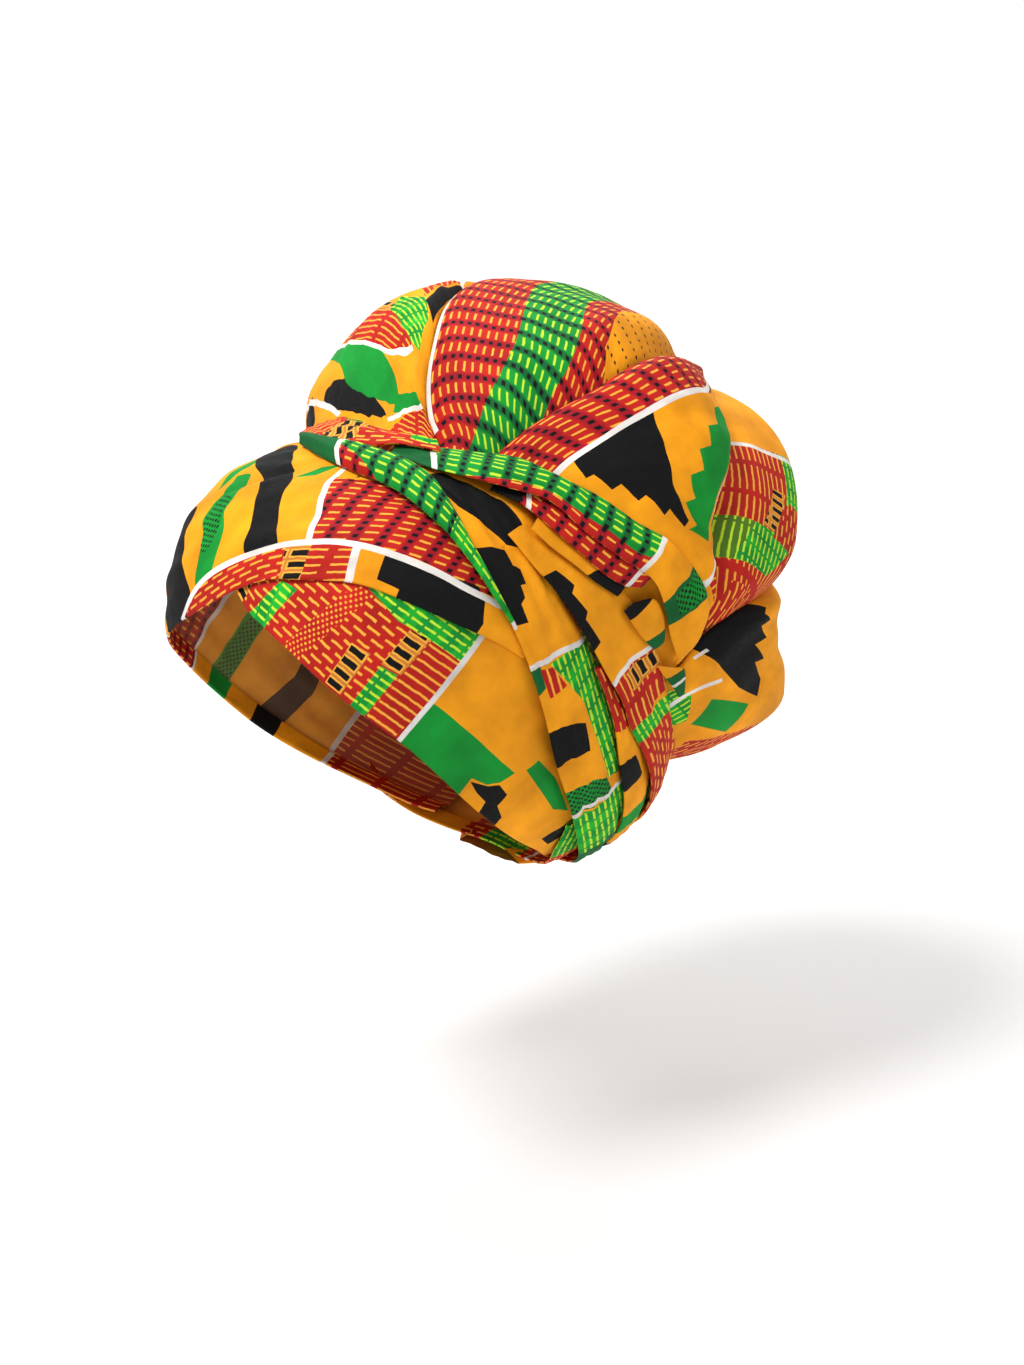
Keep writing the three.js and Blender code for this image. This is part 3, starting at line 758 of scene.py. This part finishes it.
def edge(path, width=2.7):
    """A white line of even width along a path on the chart."""
    return "white", (path, width)


LINE_STEPS = 4  # points for each place of a line and of a curved outline
CURVE_STEPS = 5
SNAP = 0.5  # what comes this near to an edge of the chart reaches it


def line(sheet, path, width):
    """The outline of a printed line."""
    points = np.array(places(path))
    middle = through(points, np.linspace(0, 1, LINE_STEPS * len(points)))
    across = sheet.width(middle[:, 0])
    flat = np.column_stack([middle[:, 0], middle[:, 1] / 100 * across])
    step = np.gradient(flat, axis=0)
    side = unit_rows(np.column_stack([-step[:, 1], step[:, 0]])) * width / 2
    edges = [np.column_stack([flat[:, 0] + k * side[:, 0],
                              (flat[:, 1] + k * side[:, 1]) / across * 100]) for k in (1, -1)]
    return [tuple(p) for p in edges[0]] + [tuple(p) for p in edges[1][::-1]]


def bar(start, end, *high):
    """A band across the whole strip: its start and end at the lower edge, and at the high
    edge where they differ."""
    high_start, high_end = high or (start, end)
    return [(start, 0), (high_start, 100), (high_end, 100), (end, 0)]


def curved(path):
    """A smooth closed outline through the places of a path."""
    points = places(path)
    points = np.array([*points, points[0]])
    return [tuple(p) for p in through(points, np.linspace(0, 1, CURVE_STEPS * len(points)))[:-1]]


def outline(shape, sheet, hem):
    """Corners of an area. What reaches an edge of the chart goes on under the folded edge."""
    if isinstance(shape, str):
        shape = places(shape)
    elif isinstance(shape, tuple):
        shape = line(sheet, *shape)
    out = []
    for x, t in shape:
        t = -hem if t <= SNAP else 100 + hem if t >= 100 - SNAP else t
        x = -1 if x <= SNAP else sheet.length + 1 if x >= sheet.length - SNAP else x
        out.append((x, t))
    return out


def chart_mesh(sheet, ground, areas, step, hem):
    """Points, faces, print places and fill names of one sheet. Each area is a fill's name,
    its shape, and the angle in degrees and place in mm where its pattern starts."""
    xs = np.linspace(0, sheet.length, max(int(sheet.length / step), 4) + 1)
    count = max(int(sheet.w_table.max() / step), 6)
    inner = np.linspace(0, 100, count + 1)
    if hem:
        fine = np.array(FINE_INSIDE)
        under = np.array([hem, hem * 0.5, *FINE_UNDER])
        inner = np.concatenate([-under, inner[:1], fine, inner[1:-1], 100 - fine[::-1],
                                inner[-1:], 100 + under[::-1]])
        inner = np.unique(np.round(inner, 4))
    areas = [(ground, None), *areas]
    shapes = [(k, outline(area[1], sheet, hem)) for k, area in enumerate(areas) if k]
    chart, faces, numbers = lay_print(xs, inner, shapes)
    points = sheet.place(chart[:, 0], chart[:, 1])
    a, b, c = (points[[face[k] for face in faces]] for k in (0, 1, 2))
    outward = np.einsum("ij,ij->i", np.cross(b - a, c - a), a - CENTRE)
    if np.median(outward) < 0:
        faces = [face[::-1] for face in faces]
    across = sheet.width(chart[:, 0])
    t = chart[:, 1]
    down = np.where(t < 0, t, np.where(t > 100, across + t - 100, t / 100 * across))
    uvs = []
    for area in areas:
        angle = math.radians(area[2]) if len(area) > 2 else 0.0
        start = area[3] if len(area) > 3 else (0, 0)
        along, over = chart[:, 0] - start[0], down - start[1]
        c, s = math.cos(angle), math.sin(angle)
        uvs.append(np.column_stack([along * c + over * s, over * c - along * s]))
    return points, faces, [areas[n][0] for n in numbers], uvs, numbers


def add(name, data):
    piece = bpy.data.objects.new(name, data)
    bpy.context.scene.collection.objects.link(piece)
    return piece


def cloth(name, parts):
    """One piece of printed cloth out of one or more charts."""
    points, faces, fills, uvs = [], [], [], []
    start = 0
    for sheet, ground, areas, step, hem in parts:
        p, f, names, maps, numbers = chart_mesh(sheet, ground, areas, step, hem)
        points.append(p)
        faces += [[i + start for i in face] for face in f]
        fills += names
        for face, number in zip(f, numbers):
            uvs.append(maps[number][face])
        start += len(p)
    points = np.vstack(points) / 1000
    mesh = bpy.data.meshes.new(name)
    mesh.from_pydata(points.tolist(), [], faces)
    used = sorted(set(fills))
    for fill in used:
        mesh.materials.append(materials[fill])
    mesh.polygons.foreach_set("material_index", [used.index(f) for f in fills])
    layer = mesh.uv_layers.new(name="print")
    layer.data.foreach_set("uv", np.vstack(uvs).astype(np.float32).ravel())
    mesh.shade_smooth()
    mesh.update()
    return add(name, mesh)


# The print on each fold: fill, outline as places (mm along, share across in hundredths),
# then where needed the angle of its pattern and where it starts. Later areas lie over
# earlier ones. After them come the height and the length and width of the ripples
charts = {}


def fold(name, ground, step, areas, *ripples, **more):
    charts[name] = [(strip(name, *ripples, **more), ground, areas, step, HEM)]


fold("brow_band", "orange", 2.4, [
    ("red_lines", "0,0 58,0 62,100 0,100"),
    edge("58,0 61,50 62,100"),
    ("black", "84,100 96,100 101,70 97,40 104,0 88,0 84,40 89,70"),
    ("green", "122,0 126,45 134,70 140,60 137,30 139,0"),
    ("net", "124,12 127,45 133,58 136,40 136,12"),
    edge("156,0 153,50 158,100"),
    ("red_dot", "157,0 154,50 159,100 206,100 203,50 206,0"),
    edge("206,0 203,50 206,100"),
    ("black", curved("214,0 216,20 222,42 234,44 237,30 246,18 253,8 240,-3 226,-3")),
    ("green", "236,60 240,50 247,62 243,72"),
    ("green", curved("246,57 254,58 259,50 261,40 268,28 267,12 258,9 256,26 249,38 249,47")),
    ("net", curved("251,47 257,47 261,38 263,27 259,22 251,37"), 20),
    ("black", curved("228,76 233,84 247,83 262,72 274,63 281,57 286,46 292,35 301,18 287,16 "
                     "280,33 272,47 264,56 250,63")),
    ("green", "280,58 288,63 291,76 284,70"),
    ("orange_dot", "293,76 298,64 312,75 330,100 293,100"),
    ("red_dot", "293,77 298,66 307,70 316,80 326,100 400,100 400,60 352,30 314,20 307,43 "
                "298,62", 8),
    edge("294,78 298,63 307,43 314,23", 2.6),
    ("red_dash", "239,0 252,6 268,13 298,18 308,20 311,0", 5),
    ("red_lines", "308,0 308,20 334,31 339,0", 5),
    ("ladder", "306,20 316,24 320,0 311,0", 4, (315, 2)),
    ("orange", "334,31 342,36 374,62 392,100 414,100 414,0 337,0"),
    edge("332,30 338,-2", 2.8),
    ("black", "342,35 346,9 355,9 357,0 391,0 390,30 384,72 378,80 366,52 352,41"),
    edge("239,-2 252,6 268,13 298,18 313,23 323,28 342,34 352,40 362,48 374,60 388,87 "
         "392,100", 2.9),
], 0.6, 110, 16, creases=[("250,52 264,57 276,66", 1.4, 3.0), ("392,24 402,40 408,60", 1.2, 3.0)])
fold("temple_band", "red_dash", 2.4, [
    ("ladder", "0,0 5,0 8,100 0,100", 0, (3, 3)),
    ("green_dash", "9,0 21,0 30,55 21,64", 0),
    ("red_speck", "34,0 44,0 58,70 50,76", 0),
    ("ladder", "61.5,2 70.5,2 70.5,35 61.5,35", 0, (66, 3.4)),
    ("green_dash", "77,0 86,0 85,32 77,32"),
    ("ladder", "76.5,33 86,33 85.5,60 76.5,60", 0, (81, 3.4)),
    ("red_lines", "86,0 106,0 103,60 86,60", 0, (95.5, 2)),
    ("green_dash", "54,74 70,62 85,60 103,57 101,100 54,100"),
    ("orange", "106,0 241,0 241,100 100,100 101,76 104,37"),
    ("green", "106,0 149,0 144,13 152,17 156,24 158,36 149,33 140,31 131,30 122,29 114,29 105,29"),
    ("black", "145,11 153,17 157,23 164,23 165,13 173,9 175,1 162,1 159,9 152,9"),
    ("green", "161,44 162,56 176,62 197,60 190,47"),
    edge("107,-3 105,20 104,37 101,76 100,104", 2.5),
    ("black", "205,20 214,20 214,45 224,45 224,70 205,70"),
], 0.45, 90, 14)
fold("nape_band", "red_dash", 2.4, [
    ("green_dash", bar(0, 24, 0, 26)),
    ("green_dash", bar(70, 98, 70, 96)),
    edge("62,-3 62,103"),
    ("orange", bar(112, 146, 112, 150)),
])
fold("side_pleat_1", "orange", 2.2, [
    ("black", "4,34 8,62 20,70 33,79 46,77 55,66 49,45 35,35 26,24 12,20"),
    ("black", "40,0 45,20 50,40 57,40 60,49 66,46 65,37 70,35 71,26 79,25 77,8 74,0"),
    ("deep_green", "93,0 96,16 107,13 108,0"),
    ("red_lines", "99,14 101,30 112,40 112,14"),
    ("green_dash", "99,28 104,100 172,100 168,70 151,62 127,58 112,44"),
    ("black", "124,0 128,30 133,50 146,46 143,20 143,0"),
    ("net", "157,0 160,40 166,66 175,72 173,0"),
    ("green_dash", bar(174, 206, 178, 206)),
    ("deep_green", bar(206, 260)),
    ("red_dash", bar(226, 260)),
    edge("95,-4 96,10 97,23 98,46 103,82 105,104", 2.4),
    edge("174,-4 172,28 176,69 177,104", 2.2),
], 0.5, 70, 9, creases=[("2,6 30,12 58,16 90,14", 1.3, 2.4), ("10,22 40,26 76,22", 1.0, 2.2)])
fold("side_pleat_2", "orange", 2.2, [
    ("red_dash", bar(0, 30, 0, 36)),
    ("black", "46,0 48,50 62,60 62,0"),
    ("green", bar(78, 92, 80, 92)),
    ("black", bar(104, 118)),
    ("red_lines", bar(124, 144)),
], 0.4, 60, 8)
fold("side_pleat_3", "orange", 2.2, [
    ("black", "22,0 24,30 34,34 36,22 46,24 48,14 60,16 62,0"),
    ("red_lines", "80,0 78,33 81,100 104,100 109,0"),
    ("ladder", "80,30 83,96 91,96 90,30", 0, (85.5, 2)),
    ("green_dash", "106,0 108,100 118,96 115,0"),
    ("red_dash", bar(115, 168, 118, 168)),
    ("orange", bar(168, 212)),
    ("black", "176,0 176,50 188,50 188,100 200,100 200,0"),
    edge("80,-5 78,33 80,77 81,105", 2.4),
], 0.5, 70, 9)
fold("side_fold_right_1", "red_dash", 2.6, [
    edge("60,-4 60,104"),
    ("orange", bar(61, 118)),
    ("black", "76,0 76,55 90,55 90,100 102,100 102,0"),
    ("green_dash", bar(118, 146)),
])
fold("side_fold_right_2", "orange", 2.6, [
    ("green_dot", "0,0 0,55 70,50 76,0"),
    ("red_dot", "0,55 0,100 66,100 70,50"),
    edge("74,-4 70,50 68,104"),
    ("black", "96,0 98,60 112,60 112,100 124,100 124,0"),
    ("red_lines", bar(140, 187)),
    edge("140,-4 140,104"),
])
fold("nape_tuck", "green_dot", 2.6, [
    ("red_dot", "0,0 0,46 86,46 86,0"),
    edge("60,-4 58,104"),
    ("orange", bar(60, 86, 58, 86)),
], 0.6, 60, 16, dip=0.6)
fold("ring_sash_left", "red_dot", 2.0, [
    ("green_dot", "20,0 42,9 54,21 66,22 82,28 97,31 116,26 119,40 121,100 14,100 17,40",
     0, (0, 1)),
    ("deep_green", "0,0 20,0 17,60 15,100 0,100"),
    ("orange", "118,0 118,20 121,82 122,100 176,100 176,0"),
    ("deep_green", "137,0 136,30 139,100 153,100 150,40 148,0"),
    ("net", "138,20 140,96 151,96 149,40 147,20"),
    edge("15,106 17,60 20,-6", 2.6),
    edge("117,-6 118,14 120,82 122,106", 2.4),
], 0.35, 60, 9, creases=[("14,3 60,4.5 112,5", 0.9, 2.0), ("122,12 150,9 172,5", 0.7, 2.4)])
fold("ring_sash_right", "red_dot", 2.4, [
    ("green_dot", "0,45 0,100 112,100 112,50 60,42"),
    edge("112,-4 113,104"),
    ("orange", bar(113, 174, 113, 176)),
    ("black", "134,0 134,40 146,44 146,100 158,100 160,0"),
    edge("174,-4 176,104"),
    ("red_lines", bar(175, 239, 177, 239)),
], 0.5, 70, 10)
fold("sash_underfold", "red_dot", 1.8, [
    ("black", bar(0, 14, 0, 10)),
    edge("11,106 14,50 18,-6", 2.0),
    edge("68,106 70,50 70,-6", 2.0),
], 0.2, 40, 8)
fold("sash_inner_fold", "orange", 1.8, [
    ("black", "30,0 34,50 48,50 48,0"),
], 0.2, 40, 8)
fold("knot_fold", "red_dash", 1.8, [
    ("red_lines", bar(0, 44, 0, 38), 70),
    ("ladder", "39,50 38,100 47,100 60,40 60,0 50,0", -52, (48, 10)),
    ("green", "34,84 38,100 47,100 40,84"),
    ("green_dash", "84,40 84,100 97,100 97,40"),
], 0.7, 26, 6)
fold("twist_roll", "green_dot", 1.8, [
    ("deep_green", bar(0, 37, 0, 34)),
    ("red_dot", "37,0 36,60 50,34 66,0"),
    edge("34,106 36,32 39,-6", 3.0),
    ("green_dash", bar(104, 150)),
    ("white", bar(150, 154)),
], 0.35, 24, 6)
fold("tuck_fold_1", "orange", 1.6, [
    ("black", bar(0, 5, 0, 7)),
    ("deep_green", bar(19, 26, 21, 26)),
], 0.3, 30, 8)
fold("tuck_fold_2", "deep_green", 1.6, [
    ("orange", bar(0, 8, 0, 6)),
    edge("13,-6 12,106", 1.6),
], 0.3, 30, 8)

charts["crown_puff"] = []


def gather(name, ground, areas):
    charts["crown_puff"].append((lobe(name), ground, areas, 2.6, LOBE_HEM))


gather("lobe_1", "orange", [
    ("black", curved("5,45 11,39 18,40 22,50 20,60 15,68 9,60")),
    ("black", "0,12 10,18 16,30 6,34 0,30"),
    edge("4,50 9,40 14,29 18,16", 2.4),
    ("green", curved("38,28 43,36 42,60 36,69 26,71 20,64 18,50 28,42")),
    ("red_lines", "42,36 56,36 63,60 63,74 61,84 52,76 42,65 40,53", 80),
    ("ladder", "58,40 66,40 66,60 62,62", 80),
    ("green_dash", "61,60 70,56 80,74 79,88 66,90 61,82", 80),
    ("red_lines", "80,30 80,72 104,76 106,34", 80),
    ("black", "79,78 92,76 112,84 112,94 82,93"),
    ("red_lines", "4,72 14,72 26,76 42,89 34,100 4,100", 75),
    ("green", "20,70 30,70 46,86 42,88 26,75"),
    edge("14,69 26,75 42,88", 2.2),
    edge("42,33 40,45 41,58 44,66 52,76 61,84", 2.4),
    edge("106,34 104,76 112,96", 2.4),
    ("red_dash", bar(128, 198)),
])
gather("lobe_2", "red_dot", [
    ("green_dot", "204,22 160,26 122,32 100,40 77,48 52,56 33,56 8,50 8,100 42,100 62,86 "
                  "81,78 105,66 123,58 160,54 204,50", 0, (0, 0.6)),
    ("red_dot", "204,50 160,54 123,58 105,66 81,78 62,86 42,100 84,100 98,85 114,77 130,71 "
                "204,66", 0, (0, 0.6)),
    ("orange_dot", "204,66 130,71 114,77 98,85 80,100 204,100"),
    edge("30,2.4 60,1.8 100,1.6 140,1.6 204,2", 2.6),
])
rim = "38,25 54,27 70,28 88,32 104,38 118,44 186,50"
gather("lobe_3", "orange", [
    ("red_dot", "0,0 0,26 " + rim + " 186,0"),
    ("black", "43,26 54,27 70,28 75,30 68,44 60,56 54,68 49,66 50,59 46,58 47,50 43,49 44,42 "
              "40,41 41,34 38,33"),
    ("green", "50,68 57,73 59,65 66,70 69,62 77,67 81,59 89,64 94,56 103,62 110,55 118,60 "
              "120,74 108,82 94,86 76,86 58,82"),
    ("red_lines", "44,84 60,88 90,91 120,86 150,80 186,80 186,100 44,100"),
    edge("30,74 44,83 60,88 90,91 120,86 150,80 186,80", 2.8),
    ("black", "118,44 122,50 150,56 150,50"),
    edge("0,27 " + rim, 2.8),
])
gather("lobe_4", "red_lines", [
    ("olive_lines", "74,0 96,0 98,30 76,28"),
    ("ladder", "100,37 101,49 126,50 125,39", 90, (103, 34)),
    ("green_dash", "76,26 98,30 104,72 80,70"),
    ("green_dash", "120,52 152,48 152,66 122,70"),
    ("red_dash", "98,50 122,54 124,100 102,100"),
    ("red_dash", "50,36 68,36 72,100 50,100"),
    ("orange", "0,0 34,0 34,100 0,100"),
    edge("34,-4 36,50 36,104"),
    ("orange", bar(150, 207)),
    edge("150,-4 148,50 150,104"),
])
gather("lobe_5", "orange", [
    ("black", "47,0 100,0 96,8 90,10 88,16 81,14 78,22 70,19 67,27 61,24 58,32 50,36 44,26 "
              "45,10"),
    ("red_dash", "0,50 10,38 32,46 58,54 58,64 0,66"),
    ("green", "15,29 29,22 44,36 29,43"),
    ("green_dash", "4,10 18,6 24,14 14,26 4,26"),
    edge("10,15 23,13 40,18", 2.4),
    edge("40,2 50,4", 2.0),
    edge("0,68 58,66 120,66 218,66"),
    ("red_dot", "0,69 58,67 120,67 218,67 218,100 0,100"),
])
gather("lobe_6", "red_dot", [
    ("green_dot", "0,28 190,28 190,54 0,54"),
    ("orange_dot", "0,78 190,78 190,100 0,100"),
])
gather("lobe_7", "orange", [
    edge("0,2 190,2"),
    ("black", "24,26 104,28 100,40 92,38 90,50 80,46 76,58 66,52 62,64 52,58 48,70 38,62 "
              "34,74 24,66"),
    ("red_lines", bar(124, 191)),
    edge("124,-4 122,50 124,104"),
])
gather("lobe_8", "red_lines", [
    ("green_dash", bar(38, 60, 38, 58)),
    ("ladder", "78,20 78,80 88,80 88,20"),
    ("orange", bar(116, 210, 114, 210)),
    edge("116,-4 114,50 114,104"),
    ("black", "136,10 136,60 150,60 150,100 164,100 164,10"),
])
# The foot of the puff runs on under the folds at the nape, so that no gap shows there
foot = Sheet([(turn, 87, turn, 76, -1.2, -1.9, 0) for turn in range(100, 261, 20)])
charts["crown_puff"].append((foot, "orange", [], 3.0, 0))

# A mesh for each piece out of its charts, fixed to the root body, with the solid that it stands
# for hidden
made = {node: cloth(node + "_cloth", parts) for node, parts in charts.items()}
for node, piece in made.items():
    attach(piece, "root")
    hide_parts(node)

# Floor, backdrop, light and camera
STAND = 0.3  # how far below the crown the floor lies
FLOOR_HALF = 6
STAGE_GREYS = (0.78, 0.82)
LENS, SENSOR, DISTANCE = 79.1, 36, 1.25


def stage_material():
    material = bpy.data.materials.new("pale_stage")
    material.use_nodes = True
    tree = material.node_tree
    shader = tree.nodes["Principled BSDF"]
    noise = tree.nodes.new("ShaderNodeTexNoise")
    noise.inputs["Scale"].default_value = 3.0
    ramp = tree.nodes.new("ShaderNodeMapRange")
    for name, grey in zip(("To Min", "To Max"), STAGE_GREYS):
        ramp.inputs[name].default_value = grey
    tree.links.new(noise.outputs[0], ramp.inputs[0])
    tree.links.new(ramp.outputs[0], shader.inputs["Base Color"])
    shader.inputs["Roughness"].default_value = 0.9
    return material


def panel(name, corners):
    mesh = bpy.data.meshes.new(name)
    mesh.from_pydata(corners, [], [range(len(corners))])
    mesh.materials.append(pale)
    return add(name, mesh)


pale = stage_material()
floor = panel("floor", [(x * FLOOR_HALF, y * FLOOR_HALF, -STAND)
                        for x, y in ((-1, -1), (1, -1), (1, 1), (-1, 1))])

TURN, RISE = math.radians(50), math.radians(17)
right = Vector((math.cos(TURN), math.sin(TURN), 0))
back = Vector((math.sin(TURN) * math.cos(RISE), -math.cos(TURN) * math.cos(RISE), math.sin(RISE)))
up = back.cross(right)
aim = right * 0.0475 + up * 0.00675 + Vector((0, 0, -0.1))


def facing(place, target):
    z = (place - target).normalized()
    x = Vector((0, 0, 1)).cross(z).normalized()
    return Matrix.Translation(place) @ Matrix((x, z.cross(x), z)).transposed().to_4x4()


far = aim - Vector((back.x, back.y, 0)).normalized() * 2.2
backdrop = panel("backdrop", [far + right * x + Vector((0, 0, z))
                              for x, z in ((-6, -0.6), (-6, 6), (6, 6), (6, -0.6))])

camera_data = bpy.data.cameras.new("camera")
camera_data.lens = LENS
camera_data.sensor_width = SENSOR
camera = add("camera", camera_data)
camera.matrix_world = facing(aim + back * DISTANCE, aim)
bpy.context.scene.camera = camera


def lamp(name, place, size, power, target=aim):
    data = bpy.data.lights.new(name, "AREA")
    data.shape = "DISK"
    data.size, data.energy = size, power
    add(name, data).matrix_world = facing(place, target)


lamp("key", aim - right * 0.75 + up * 1.25 + back * 1.0, 0.7, 33)
lamp("fill", aim + right * 1.4 + up * 0.25 + back * 0.9, 1.2, 5)
lamp("wall", aim + up * 1.6 - back * 0.7, 1.6, 26, target=aim - back * 2)
world = bpy.data.worlds.new("pale_room")
world.use_nodes = True
sky = world.node_tree.nodes["Background"]
sky.inputs["Color"].default_value = (1, 0.99, 0.98, 1)
sky.inputs["Strength"].default_value = 0.45
bpy.context.scene.world = world
bpy.context.scene.view_settings.view_transform = "Standard"
